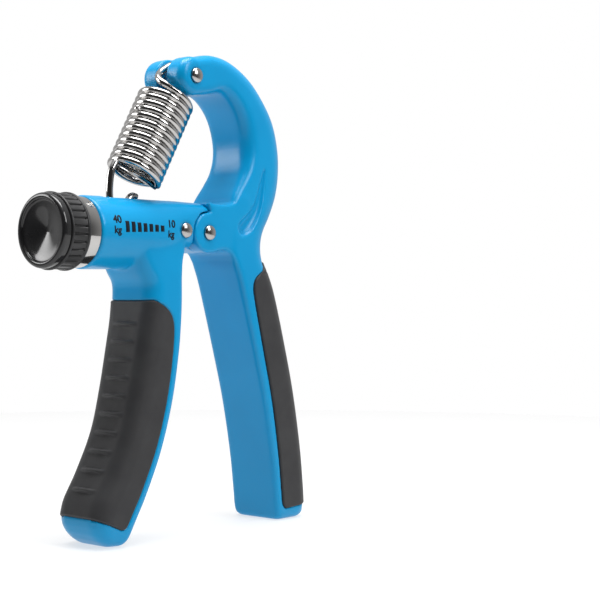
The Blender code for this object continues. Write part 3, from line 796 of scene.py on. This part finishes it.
def seat_solid(stations, span, top):
    """The hollow that a pad lies in, as a solid that reaches past the handle's outside."""
    curve, lengths = pad_curve(stations, span)
    total = lengths[-1]
    smooth_top = spline(top, 6)
    rings = []
    for distance in pad_rows(total, []):
        station = station_at(curve, lengths, distance)
        start = pad_start(station, distance, total, smooth_top) - SEAT_GAP
        section = pad_section(station, start)
        rings.append(pad_ring(station, section, [SEAT_CUT] * len(section), PAD_DEPTH + 0.1))
    return loft(rings)


def barrel_solid():
    """The barrel, round at its open end and squarer towards the pivot."""
    rings = []
    sides = 64
    for x, low, high, half, power in spline(BARREL_STATIONS, 4):
        ring = []
        for k in range(sides):
            a = 2 * math.pi * k / sides
            c, s = math.cos(a), math.sin(a)
            y = half * math.copysign(abs(c) ** (2 / power), c)
            z = (high - low) / 2 * math.copysign(abs(s) ** (2 / power), s)
            ring.append((x, y, (high + low) / 2 + z))
        rings.append(ring)
    return loft(rings)


def disc(start, end, radius, axis="Y", centre=(0.0, 0.0), sides=64):
    """A solid cylinder between two places on an axis."""
    return turned([(start, 0.0), (start, radius), (end, radius), (end, 0.0)], axis, centre, sides)


def both_sides(inner, outer, radius, centre=(0.0, 0.0)):
    """Two cylinders, the same distance in front of the middle plane and behind it."""
    return [disc(inner, outer, radius, "Y", centre), disc(-outer, -inner, radius, "Y", centre)]


def short_shell(mat):
    """The short handle with its barrel, bore, slot, recesses and pad seat."""
    body = raw_object(joined([handle_solid(SHORT_STATIONS, SHORT_TOE), barrel_solid()]))
    mould(body, SHORT_ROUNDING)
    seam = [(1.0, 6.4), (-0.9, 10.6), (-0.9, 16.0), (9.0, 16.0), (9.0, -11.0), (-4.4, -11.0),
            (-4.9, -4.8), (0.0, 0.0)]
    carve(body, [prism(seam, -PAST_FACES, PAST_FACES)])
    tongue = arc(0.0, 0.0, EAR_RADIUS, -82, 82, 28) + [(-8.0, 6.2), (-8.0, -4.6), (-4.0, -5.0)]
    boolean(body, prism(tongue, -TONGUE_HALF, TONGUE_HALF), "UNION")
    axis = (0.0, AXIS_Z)
    slot = box_outline(SLOT_FROM_X, SLOT_TO_X, 0.0, PAST_FACES)
    rivet_place = (BARREL_RIVET.x, BARREL_RIVET.z)
    carve(body, [
        *both_sides(TONGUE_HALF, PAST_FACES, RECESS_RADIUS),
        disc(-PAST_FACES, PAST_FACES, PIVOT_BUSH_HOLE_RADIUS),
        disc(BARREL_END_X - 1.0, BORE_END_X, BORE_RADIUS, "X", axis),
        disc(BORE_END_X - 1.0, BUSH_END_X, BUSH_HOLE_RADIUS, "X", axis),
        prism(slot, -SLOT_HALF, SLOT_HALF),
        disc(-PAST_FACES, PAST_FACES, BARREL_RIVET_HOLE_RADIUS, "Y", rivet_place, 32),
        *both_sides(EAR_HALF, PAST_FACES, SPOTFACE_RADIUS, rivet_place),
        seat_solid(SHORT_STATIONS, SHORT_PAD, SHORT_PAD_TOP),
    ])
    mould(body, CUT_ROUNDING)
    return shell_piece(body, "short_handle_shell", "grip_body", mat, ("short_handle",))


def flute(side):
    """A leaf-shaped hollow in the arm's face, wide at its foot and pointed at its top."""
    path = spline([(14.0, 0.8), (18.8, 4.2), (23.2, 10.4), (26.8, 22.6)], 10)
    sides = 24
    rings = []
    last = len(path) - 1
    for k, (x, z) in enumerate(path):
        t = k / last
        foot = math.sqrt(max(0.03, 1 - (1 - min(1.0, t / 0.3)) ** 2))
        width = max(FLUTE_HALF_WIDTH * foot * (1 - t) ** 0.55, 0.25)
        before, after = path[max(k - 1, 0)], path[min(k + 1, last)]
        run = Vector((after[0] - before[0], after[1] - before[1])).normalized()
        ring = []
        for j in range(sides):
            a = 2 * math.pi * j / sides
            off = width * math.cos(a)
            deep = (1.0 + 0.25 * width) * math.sin(a)
            ring.append((x - run.y * off, side * (EAR_HALF + 0.1) + deep, z + run.x * off))
        rings.append(ring)
    return loft(rings)


def ear_outline():
    """The ear and the web that joins it to the arm."""
    ear = arc(0.0, 0.0, EAR_RADIUS, 78, 270, 40)
    web = [(2.6, -6.2), (5.5, -5.4), (8.2, -5.3), (10.4, -6.6), (11.9, -9.0), (17.0, -9.0),
           (20.0, 4.0), (18.5, 12.4), (14.2, 12.0), (11.6, 10.1), (9.0, 9.4), (5.0, 9.3),
           (-0.4, 9.9)]
    return ear + web


def tip_solid():
    """The fork's rounded end."""
    side = arc(TIP_HALF - TIP_EDGE, TIP_RADIUS - TIP_EDGE, TIP_EDGE, 0, 90, 8)
    profile = [(TIP_HALF, 0.0), *side]
    profile += [(-p, r) for p, r in reversed(side)] + [(-TIP_HALF, 0.0)]
    return turned(profile, "Y", (TOP_RIVET.x, TOP_RIVET.z), 72)


def long_shell(mat):
    """The long handle with its C-shaped arm, fork, ears, flutes and pad seat."""
    body = raw_object(joined([
        handle_solid(LONG_STATIONS, LONG_TOE),
        tip_solid(),
        prism(ear_outline(), -EAR_HALF, EAR_HALF),
    ]))
    mould(body, LONG_ROUNDING)
    slot = box_outline(TOP_RIVET.x - PAST_FACES, FORK_SLOT_TO_X,
                       TOP_RIVET.z - PAST_FACES, TOP_RIVET.z + PAST_FACES)
    carve(body, [
        disc(-EAR_INNER, EAR_INNER, POCKET_RADIUS),
        disc(-PAST_FACES, PAST_FACES, RIVET_HOLE_RADIUS, sides=32),
        disc(-PAST_FACES, PAST_FACES, RIVET_HOLE_RADIUS, "Y", (TOP_RIVET.x, TOP_RIVET.z), 32),
        prism(slot, -FORK_SLOT_HALF, FORK_SLOT_HALF),
        flute(-1),
        flute(1),
        seat_solid(LONG_STATIONS, LONG_PAD, LONG_PAD_TOP),
    ])
    mould(body, CUT_ROUNDING)
    shell_piece(body, "long_handle_shell", "long_arm", mat, ("long_handle",))


def rubber_pads(mat):
    """The pad on each handle."""
    short = pad_solid(SHORT_STATIONS, SHORT_PAD, SHORT_PAD_TOP, SHORT_RIBS)
    piece("short_pad", short, "grip_body", mat, ("short_handle_pad",), sharp=50)
    long = pad_solid(LONG_STATIONS, LONG_PAD, LONG_PAD_TOP, LONG_RIBS)
    piece("long_pad", long, "long_arm", mat, ("long_handle_pad",), sharp=50)


# ---------------- hardware

def rivet(name, node, body, mat):
    """A rivet with a domed head on each face."""
    low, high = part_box(node)
    centre = (middle(node) - PIVOT) / MM
    half = (high[1] - low[1]) / 2 / MM
    radius = RIVET_HEAD_SCALE * (high[0] - low[0]) / 2 / MM
    seat = half - RIVET_HEAD_HEIGHT
    head = [(seat, RIVET_SHANK_RADIUS), (seat, radius - 0.15), (seat + 0.15, radius)]
    dome_height = RIVET_HEAD_HEIGHT - RIVET_RIM_HEIGHT
    dome = [(seat + RIVET_RIM_HEIGHT + dome_height * math.sin(a), radius * math.cos(a))
            for a in (math.radians(9.0 * k) for k in range(10))]
    side = head + dome + [(half, 0.0)]
    profile = [(-p, r) for p, r in reversed(side)] + side
    bm = turned(profile, "Y", (centre.x, centre.z), 48)
    piece(name, bm, body, mat, (node,))


def smooth_profile(points):
    """A closed turning profile with its corners cut into small arcs."""
    radius = 0.25
    steps = 5
    rounded = []
    count = len(points)
    for k in range(count):
        before = Vector(points[k - 1])
        here = Vector(points[k])
        after = Vector(points[(k + 1) % count])
        reach = min(radius, (before - here).length / 2.2, (after - here).length / 2.2)
        a = here + (before - here).normalized() * reach
        b = here + (after - here).normalized() * reach
        for step in range(steps + 1):
            t = step / steps
            point = a * (1 - t) ** 2 + here * 2 * t * (1 - t) + b * t**2
            rounded.append((point.x, point.y))
    return rounded


def collar(mat):
    """The collar, with the spigot that holds it in the barrel."""
    left, right = COLLAR_LEFT_X, BARREL_END_X - 0.15
    points = [(left, COLLAR_BORE_RADIUS), (SPIGOT_END_X, COLLAR_BORE_RADIUS),
              (SPIGOT_END_X, SPIGOT_RADIUS), (right, SPIGOT_RADIUS),
              (right, COLLAR_RADIUS), (left, COLLAR_RADIUS - 0.1)]
    bm = turned(smooth_profile(points), "X", (0.0, AXIS_Z), 128)
    piece("collar_ring", bm, "grip_body", mat, ("collar",))


def axis_ring(x, radii):
    """A ring about the screw's axis, with a radius for each of its points."""
    count = len(radii)
    return [(x, radius * math.cos(2 * math.pi * j / count),
             AXIS_Z + radius * math.sin(2 * math.pi * j / count)) for j, radius in enumerate(radii)]


def knob(mat):
    """The knob with smooth rims and a band of narrow grooves."""
    left, right = KNOB_LEFT_X, KNOB_RIGHT_X
    right_rim = [(right, 0.955), (right - 0.08, 0.985), (right - 0.3, 1.0), (right - 0.75, 1.0),
                 (right - 0.95, 0.99), (right - 1.05, 0.972)]
    band = [(right - 1.4, 0.968), (left + 1.0, 0.968)]
    left_rim = [(left + 0.8, 0.972), (left + 0.7, 0.985), (left + 0.55, 0.992),
                (left + 0.25, 0.992), (left + 0.08, 0.98), (left, 0.955)]
    samples = 14
    dips = [min(1.0, 1.6 * max(0.0, 1 - abs(k / samples - 0.5) / GROOVE_HALF_WIDTH))
            for k in range(samples)] * KNOB_GROOVES
    web_right = COLLAR_LEFT_X - 0.9
    web_left = web_right - KNOB_WEB
    inside = [(left, KNOB_HOLLOW_RADIUS), (web_left, KNOB_HOLLOW_RADIUS),
              (web_left, KNOB_BORE_RADIUS), (web_right, KNOB_BORE_RADIUS),
              (web_right, KNOB_RECESS_RADIUS), (right, KNOB_RECESS_RADIUS)]
    rings = []
    for x, scale in right_rim + band + left_rim:
        groove = GROOVE_DEPTH if (x, scale) in band else 0.0
        rings.append(axis_ring(x, [KNOB_RADIUS * scale - groove * dip for dip in dips]))
    rings += [axis_ring(x, [radius] * len(dips)) for x, radius in inside]
    bm = loft(rings, looped=True)
    piece("knob_grip", bm, "knob_body", mat, ("knob",), sharp=40)


def knob_cap(mat):
    """The glossy cap, dished to a shallow cone."""
    left = CAP_LEFT_X
    seat = KNOB_LEFT_X - 0.2
    dish = spline([(left + 2.8, 0.0), (left + 2.7, 1.0), (left + 2.2, 3.2), (left + 1.25, 7.0),
                   (left + 0.85, 8.9), (left + 0.6, 9.25), (left + 0.15, 9.45), (left, 9.8),
                   (left, 10.4), (left + 0.25, 10.95), (left + 0.8, CAP_RADIUS),
                   (left + 1.6, CAP_RADIUS)], 5)
    back = [(seat - 0.1, CAP_RADIUS - 0.05), (seat, CAP_RADIUS - 0.3), (seat, 9.15),
            (seat + 2.2, 9.1), (seat + 2.2, 8.1), (seat - 0.6, 8.0), (left + 3.4, 3.0),
            (left + 3.5, 0.0)]
    bm = turned(dish + back, "X", (0.0, AXIS_Z), 128)
    piece("knob_end_cap", bm, "knob_body", mat, ("knob_cap",))


def screw(mat):
    """The adjusting screw with its thread, a groove that winds once each pitch."""
    low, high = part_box("adjusting_screw")
    start = (low[0] - PIVOT.x) / MM
    end = (high[0] - PIVOT.x) / MM
    radius = (high[2] - low[2]) / 2 / MM
    sides = 32
    step = 0.2
    neck = end - SCREW_TIP_LENGTH
    count = round((end - start) / step)
    rings = []
    for k in range(count + 1):
        x = start + (end - start) * k / count
        radii = []
        for j in range(sides):
            phase = (x / SCREW_PITCH - j / sides) % 1.0
            cut = THREAD_DEPTH * min(1.0, max(0.0, 2.2 - abs(phase - 0.5) * 8))
            radii.append(SCREW_TIP_RADIUS if x > neck else radius - cut)
        if k in (0, count):
            radii = [r * 0.85 for r in radii]
        rings.append(axis_ring(x, radii))
    bm = loft(rings)
    piece("screw_thread", bm, "knob_body", mat, ("adjusting_screw",))


# ---------------- spring

def spring_point(side, y, height):
    """A point given across the spring, along y, and along the spring from the fork's rivet."""
    up = Vector((TOP_RIVET.x - HOOK_PIN.x, 0.0, TOP_RIVET.z - HOOK_PIN.z)).normalized()
    across = Vector((up.z, 0.0, -up.x))
    return Vector((TOP_RIVET.x, 0.0, TOP_RIVET.z)) + across * side + up * height \
        + Vector((0.0, y, 0.0))


def coil_point(turn):
    """A point on the coil, counted in turns from its top."""
    a = 2 * math.pi * turn
    return spring_point(-COIL_RADIUS * math.cos(a), -COIL_RADIUS * math.sin(a),
                        -COIL_TOP - COIL_PITCH * turn)


def helix(first_turn, last_turn):
    """Points down the coil between two turns."""
    span = last_turn - first_turn
    count = round(span * TURN_POINTS)
    return [coil_point(first_turn + span * k / count) for k in range(count + 1)]


def top_hook():
    """From the wire's end, up over the sleeve and down to the coil's first turn."""
    shape = [(1.2, 0.0, -5.2), (4.6, 0.3, -6.6), (7.0, 0.3, -7.2), (7.2, 0.0, -5.6),
             (5.6, 0.0, -2.4), (4.3, 0.0, 0.6), (2.6, 0.0, 3.4), (0.0, 0.0, 4.35),
             (-2.9, 0.0, 3.3), (-5.2, 0.0, 0.0), (-6.9, -0.5, -3.2), (-7.5, -2.3, -5.9),
             (-6.4, -5.0, -7.5)]
    points = [spring_point(*p) for p in shape] + [coil_point(HOOK_TURN)]
    return spline([tuple(p) for p in points], 8)


def lower_hook():
    """From the coil's last turn, down into the barrel, round the pin and out again."""
    shape = [(-30.2, 0.0, 21.6), (-32.3, 0.0, 18.0), (-33.0, 0.0, 12.6), (-32.6, 0.0, 7.6),
             (-31.2, 0.0, 4.4), (-29.2, 0.0, 3.65), (-27.2, 0.0, 4.8), (-26.2, 0.0, 7.8),
             (-25.2, 0.0, 9.9), (-23.8, 0.0, 10.9), (-22.2, 0.0, 10.7)]
    return spline(shape, 8)


def blend_wire(obj):
    """Move every ring of the wire to its centre as one, bake the object's transform into its mesh,
    then put every point back where it was.
    """
    verts = obj.data.vertices
    places = [v.co.copy() for v in verts]
    for first in range(0, len(verts), WIRE_SIDES):
        ring = places[first:first + WIRE_SIDES]
        centre = sum(ring, Vector()) / len(ring)
        for k in range(first, first + len(ring)):
            verts[k].co = centre
    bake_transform(obj)
    for vert, place in zip(verts, places):
        vert.co = place


def spring(mat):
    """The extension spring, in two pieces that meet at a turn of the coil."""
    upper = top_hook()[:-1] + helix(HOOK_TURN, SPLIT_TURN)
    head = piece("spring_upper", wire(upper), None, mat, ("spring_top",), sharp=0)
    lower = helix(SPLIT_TURN, COIL_TURNS - 0.08) + lower_hook()
    foot = piece("spring_lower", wire(lower), None, mat, ("spring_bottom", "spring_hook"),
                 sharp=0)
    blend_wire(head)
    blend_wire(foot)


# ---------------- printed scale

def text_mesh(words, size):
    """Flat letters as a mesh in x and y, centred on the origin."""
    curve = bpy.data.curves.new("words", "FONT")
    curve.body = words
    curve.size = size
    curve.align_x = "CENTER"
    curve.align_y = "CENTER"
    curve.offset = size * LETTER_BOLDNESS
    curve.resolution_u = 6
    obj = linked("words", curve)
    depsgraph = bpy.context.evaluated_depsgraph_get()
    mesh = bpy.data.meshes.new_from_object(obj.evaluated_get(depsgraph))
    bm = bmesh.new()
    bm.from_mesh(mesh)
    bpy.data.meshes.remove(mesh)
    bpy.data.objects.remove(obj)
    bpy.data.curves.remove(curve)
    return bm


def rectangle(width, height):
    """A flat rectangle in x and y, centred on the origin."""
    bm = bmesh.new()
    corners = box_outline(-width / 2, width / 2, -height / 2, height / 2)
    bm.faces.new([bm.verts.new((x, y, 0.0)) for x, y in corners])
    return bm


def printed(name, shapes, shell, mat):
    """Ink laid on the barrel's front: each shape is a flat mesh with its place in x and z.

    The shapes are cut into narrow rows first, so that they bend with the barrel.
    """
    tree = BVHTree.FromObject(shell, bpy.context.evaluated_depsgraph_get())
    inverse = shell.matrix_world.inverted()
    total = bmesh.new()
    for bm, x, z in shapes:
        bmesh.ops.translate(bm, verts=bm.verts, vec=(x, z, 0.0))
        absorb(total, bm)
    row = 0.35
    highest = max(v.co.y for v in total.verts)
    level = min(v.co.y for v in total.verts) + row
    while level < highest:
        geometry = total.verts[:] + total.edges[:] + total.faces[:]
        bmesh.ops.bisect_plane(total, geom=geometry, plane_co=(0.0, level, 0.0),
                               plane_no=(0.0, 1.0, 0.0))
        level += row
    bmesh.ops.remove_doubles(total, verts=total.verts, dist=0.002)
    for vert in total.verts:
        x, z = vert.co.x, vert.co.y
        origin = inverse @ world((x, -30.0, z))
        hit = tree.ray_cast(origin, Vector((0.0, 1.0, 0.0)))[0]
        y = ((shell.matrix_world @ hit).y - PIVOT.y) / MM
        vert.co = (x, y - INK_LIFT, z)
    bmesh.ops.recalc_face_normals(total, faces=total.faces)
    front = sum(f.normal.y * f.calc_area() for f in total.faces)
    if front > 0:
        bmesh.ops.reverse_faces(total, faces=total.faces)
    sheet = raw_object(total)
    solid = sheet.modifiers.new("ink", "SOLIDIFY")
    solid.thickness = INK_THICKNESS
    solid.offset = -1.0
    apply_modifiers(sheet)
    shell_piece(sheet, name, "grip_body", mat, ())


def force_scale(shell, mat):
    """Seven bars that shrink from 40 kg to 10 kg."""
    shapes = []
    for k in range(SCALE_BARS):
        t = k / (SCALE_BARS - 1)
        x, z, height = (a + (b - a) * t for a, b in zip(FIRST_BAR, LAST_BAR))
        shapes.append((rectangle(BAR_WIDTH, height), x, z))
    printed("scale_bars", shapes, shell, mat)
    letters = [
        (text_mesh("40", 3.2), -39.1, 2.6),
        (text_mesh("kg", 3.1), -39.3, -0.6),
        (text_mesh("10", 3.2), -17.1, 2.0),
        (text_mesh("kg", 3.0), -17.3, -1.2),
    ]
    printed("scale_letters", letters, shell, mat)


# ---------------- camera, light and floor

def make_camera():
    """The camera, which looks level; also the directions to its right and forward."""
    data = bpy.data.cameras.new("camera")
    data.sensor_width = 36.0
    data.lens = LENS
    data.clip_start = 0.01
    camera = linked("camera", data)
    right = Vector((math.cos(VIEW_AZIMUTH), math.sin(VIEW_AZIMUTH), 0.0))
    forward = Vector((-math.sin(VIEW_AZIMUTH), math.cos(VIEW_AZIMUTH), 0.0))
    target = PIVOT + FRONT_FACE + right * VIEW_RIGHT - UP * VIEW_DOWN
    camera.location = target - forward * VIEW_DISTANCE
    camera.rotation_mode = "QUATERNION"
    camera.rotation_quaternion = forward.to_track_quat("-Z", "Y")
    bpy.context.scene.camera = camera
    return right, forward


def area_light(name, place, target, size, power, spread=180):
    """A rectangular soft light that faces its target."""
    data = bpy.data.lights.new(name, "AREA")
    data.shape = "RECTANGLE"
    data.size, data.size_y = size
    data.energy = power
    data.spread = math.radians(spread)
    light = linked(name, data)
    light.location = place
    light.rotation_mode = "QUATERNION"
    light.rotation_quaternion = (target - place).to_track_quat("-Z", "Y")


def studio(right, forward):
    """Soft lights from the right and above, with a white backdrop and a room that reflects as grey."""
    def spot(across, ahead, above):
        """A place in metres from the object's middle, as the camera faces it."""
        return LIT_MIDDLE + right * across + forward * ahead + UP * above

    area_light("key", spot(0.42, -0.24, 0.36), spot(0.0, 0.0, 0.04), KEY_SIZE, KEY_POWER)
    area_light("fill", spot(-0.2, 0.0, 0.12), spot(0.04, 0.0, 0.065), FILL_SIZE, FILL_POWER,
               spread=50)
    area_light("top", spot(0.0, -0.02, 0.55), LIT_MIDDLE, TOP_SIZE, TOP_POWER)
    room = bpy.data.worlds.new("studio")
    bpy.context.scene.world = room
    room.use_nodes = True
    tree = room.node_tree
    where = add_node(tree, "ShaderNodeTexCoord")
    facing = add_node(tree, "ShaderNodeVectorMath", Operation="DOT_PRODUCT")
    facing.inputs[1].default_value = forward
    tree.links.new(where.outputs["Generated"], facing.inputs[0])
    split = add_node(tree, "ShaderNodeSeparateXYZ")
    tree.links.new(where.outputs["Generated"], split.inputs["Vector"])
    around = grey_bands(tree, facing.outputs["Value"], -1.0, 1.0,
                        [(0.0, 0.03), (0.32, 0.05), (0.44, 0.15), (0.56, 0.4), (0.72, 0.55)])
    overhead = grey_bands(tree, split.outputs["Z"], 0.0, 1.0,
                          [(0.0, 0.0), (0.72, 0.0), (0.85, 0.75)])
    brighter = add_node(tree, "ShaderNodeMath", Operation="MAXIMUM")
    tree.links.new(around, brighter.inputs[0])
    tree.links.new(overhead, brighter.inputs[1])
    seen = add_node(tree, "ShaderNodeLightPath")
    backdrop = add_node(tree, "ShaderNodeMath", Operation="MAXIMUM")
    tree.links.new(brighter.outputs["Value"], backdrop.inputs[0])
    tree.links.new(seen.outputs["Is Camera Ray"], backdrop.inputs[1])
    tree.links.new(backdrop.outputs["Value"], tree.nodes["Background"].inputs["Strength"])
    tree.nodes["Background"].inputs["Color"].default_value = (1.0, 1.0, 1.0, 1.0)


def grey_bands(tree, source, low, high, stops):
    """Brightness by steps of a value that runs from low to high."""
    spread = add_node(tree, "ShaderNodeMapRange")
    spread.inputs["From Min"].default_value = low
    spread.inputs["From Max"].default_value = high
    tree.links.new(source, spread.inputs["Value"])
    bands = add_node(tree, "ShaderNodeValToRGB")
    elements = bands.color_ramp.elements
    while len(elements) < len(stops):
        elements.new(0.5)
    for element, (place, value) in zip(elements, stops):
        element.position = place
        element.color = (value, value, value, 1.0)
    tree.links.new(spread.outputs["Result"], bands.inputs["Fac"])
    return bands.outputs["Color"]


def make_floor():
    """A pale round floor that glows a little, so that it stays nearly white."""
    sides = 96
    angles = [2 * math.pi * k / sides for k in range(sides)]
    rings = [[(r * math.cos(a), r * math.sin(a), -0.02 * MM) for a in angles]
             for r in (0.02, 0.15, 0.3, FLOOR_RADIUS)]
    bm = loft(rings, capped=False)
    bm.verts.ensure_lookup_table()
    bm.faces.new(bm.verts[:sides])
    bmesh.ops.recalc_face_normals(bm, faces=bm.faces)
    floor = linked("floor", mesh_of(bm, "floor"))
    mat, tree, shader = new_material("pale_floor", (FLOOR_GREY,) * 3, 0.6)
    vary(tree, shader, noise(tree, 30.0), 0.5, 0.62)
    shader.inputs["Emission Color"].default_value = (1.0, 1.0, 1.0, 1.0)
    shader.inputs["Emission Strength"].default_value = FLOOR_GLOW
    floor.data.materials.append(mat)


def dress_cad_nodes(materials):
    """Give the carried-over nodes their finished materials."""
    for name, mat in materials.items():
        node = frame["nodes"][name]
        for slot in node.material_slots:
            slot.material = mat


def main():
    """Light the object, then make its pieces."""
    bpy.context.scene.view_settings.view_transform = "Standard"
    right, forward = make_camera()
    studio(right, forward)
    make_floor()
    blue = blue_plastic()
    rubber = black_rubber()
    black = black_plastic("black_plastic", 0.42, 0.00003)
    gloss = black_plastic("black_gloss", 0.1, 0.000004)
    chrome = plated("chrome", (0.51, 0.5, 0.49), 0.09, 0.000004)
    nickel = plated("nickel", (0.45, 0.44, 0.43), 0.2, 0.000006)
    steel = plated("steel", (0.5, 0.5, 0.51), 0.3, 0.00002)
    brass = plated("brass", (0.7, 0.52, 0.24), 0.3, 0.00002)
    nylon = nylon_material()
    ink = ink_material()
    shell = short_shell(blue)
    long_shell(blue)
    rubber_pads(rubber)
    rivet("pivot_rivet_heads", "pivot_rivet", "grip_body", nickel)
    rivet("barrel_rivet_heads", "barrel_rivet", "grip_body", nickel)
    rivet("top_rivet_heads", "top_rivet", "long_arm", nickel)
    collar(chrome)
    knob(black)
    knob_cap(gloss)
    screw(steel)
    spring(chrome)
    force_scale(shell, ink)
    dress_cad_nodes({
        "pivot_bush": steel, "front_pivot_washer": nylon, "back_pivot_washer": nylon,
        "hook_sleeve": steel, "thrust_washer": steel, "end_bush": nylon, "lock_washer": steel,
        "lock_nut": steel, "retaining_ring": steel, "slider": brass, "hook_pin": steel,
    })


main()
